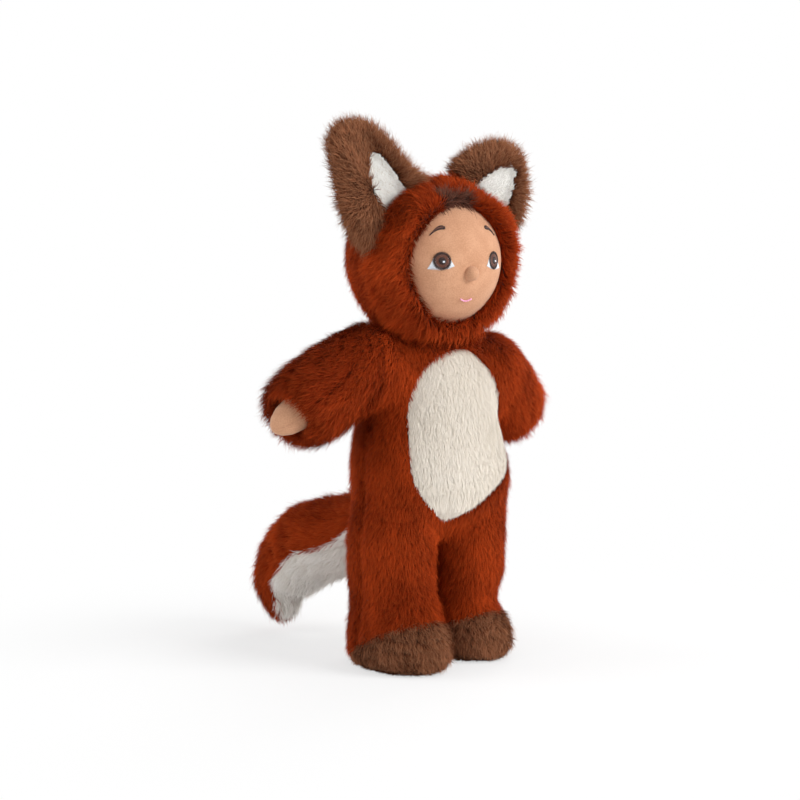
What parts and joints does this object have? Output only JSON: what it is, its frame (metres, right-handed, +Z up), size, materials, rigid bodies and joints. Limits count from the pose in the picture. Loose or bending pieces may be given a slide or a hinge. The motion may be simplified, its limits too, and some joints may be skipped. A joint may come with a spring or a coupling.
{
  "type": "soft doll in a furry fox suit",
  "caption": "Standing soft doll with a cloth face in a rust fur fox suit with hood, ears, cream belly, brown feet and curled tail; head, ears, arms, legs and tail move.",
  "frame": {"origin": "middle of the right foot's flat sole, on the floor; the middle of the body stands 31.5 mm along +X and 6.7 mm along +Y from it", "axes": "+Z up, -Y the way the doll faces, +X towards the doll's left side"},
  "size_m": [0.2441, 0.2138, 0.3718],
  "materials": {
    "rust_fur": "combed short-pile fur cloth, rust red-brown",
    "cream_fur": "short-pile fur cloth, cream",
    "white_fur": "short-pile fur cloth, white",
    "brown_fur": "fur cloth, grey-brown",
    "brown_sole": "short-pile cloth, dark brown",
    "skin_cloth": "fine matt knitted cloth, skin colour",
    "stuffing": "white fibre filling",
    "hair": "dark brown hair pile",
    "white_thread": "white embroidery",
    "brown_thread": "dark brown embroidery",
    "pink_thread": "pink embroidery"
  },
  "bodies": {
    "torso": {"torso_skin": "rust_fur", "belly_panel": "cream_fur", "torso_filling": "stuffing"},
    "neck": {"neck": "skin_cloth"},
    "head": {"head_skin": "skin_cloth", "head_filling": "stuffing", "nose": "skin_cloth", "eye_white_right": "white_thread", "eye_white_left": "white_thread", "iris_right": "brown_thread", "iris_left": "brown_thread", "brow_right": "brown_thread", "brow_left": "brown_thread", "mouth": "pink_thread", "hair_tuft": "hair", "hood_front": "rust_fur", "hood_back": "rust_fur"},
    "ear_right": {"ear_back_right": "brown_fur", "ear_lining_right": "white_fur"},
    "ear_left": {"ear_back_left": "brown_fur", "ear_lining_left": "white_fur"},
    "arm_right": {"sleeve_right": "rust_fur", "arm_filling_right": "stuffing", "hand_right": "skin_cloth"},
    "arm_left": {"sleeve_left": "rust_fur", "arm_filling_left": "stuffing", "hand_left": "skin_cloth"},
    "leg_right": {"leg_skin_right": "rust_fur", "leg_filling_right": "stuffing", "foot_cap_right": "brown_fur", "sole_right": "brown_sole"},
    "leg_left": {"leg_skin_left": "rust_fur", "leg_filling_left": "stuffing", "foot_cap_left": "brown_fur", "sole_left": "brown_sole"},
    "tail": {"tail_top": "rust_fur", "tail_underside": "white_fur", "tail_filling": "stuffing"}
  },
  "joints": [
    {"name": "neck_turn", "type": "hinge", "parent": "torso", "child": "neck", "pos_m": [0.0315, 0.00467, 0.277], "axis": [0, 0, 1], "range_deg": [-40, 40], "stiffness_Nm_per_rad": 0.1},
    {"name": "head_nod", "type": "hinge", "parent": "neck", "child": "head", "pos_m": [0.0315, 0.00467, 0.277], "axis": [1, 0, 0], "range_deg": [-12, 12], "stiffness_Nm_per_rad": 0.3},
    {"name": "ear_right_tilt", "type": "hinge", "parent": "head", "child": "ear_right", "pos_m": [-0.004, -0.00433, 0.30775], "axis": [0.6496, 0, 0.7603], "range_deg": [-12, 12], "stiffness_Nm_per_rad": 0.05},
    {"name": "ear_left_tilt", "type": "hinge", "parent": "head", "child": "ear_left", "pos_m": [0.06925, -0.00433, 0.31825], "axis": [0.8078, 0, -0.5895], "range_deg": [-12, 12], "stiffness_Nm_per_rad": 0.05},
    {"name": "arm_right_raise", "type": "hinge", "parent": "torso", "child": "arm_right", "pos_m": [-0.0185, 0.00667, 0.202], "axis": [-0.0523, 0.9986, 0], "range_deg": [-20, 55], "stiffness_Nm_per_rad": 0.6},
    {"name": "arm_left_raise", "type": "hinge", "parent": "torso", "child": "arm_left", "pos_m": [0.0815, 0.00667, 0.202], "axis": [0.5446, -0.8387, 0], "range_deg": [-4, 70], "stiffness_Nm_per_rad": 0.6},
    {"name": "leg_right_swing", "type": "hinge", "parent": "torso", "child": "leg_right", "pos_m": [0, 0.00667, 0.086], "axis": [-1, 0, 0], "range_deg": [-20, 60], "stiffness_Nm_per_rad": 2},
    {"name": "leg_left_swing", "type": "hinge", "parent": "torso", "child": "leg_left", "pos_m": [0.063, 0.00667, 0.086], "axis": [-1, 0, 0], "range_deg": [-20, 60], "stiffness_Nm_per_rad": 2},
    {"name": "tail_lift", "type": "hinge", "parent": "torso", "child": "tail", "pos_m": [0.0315, 0.04128, 0.102], "axis": [1, 0, 0], "range_deg": [-5, 30], "stiffness_Nm_per_rad": 0.5}
  ]
}
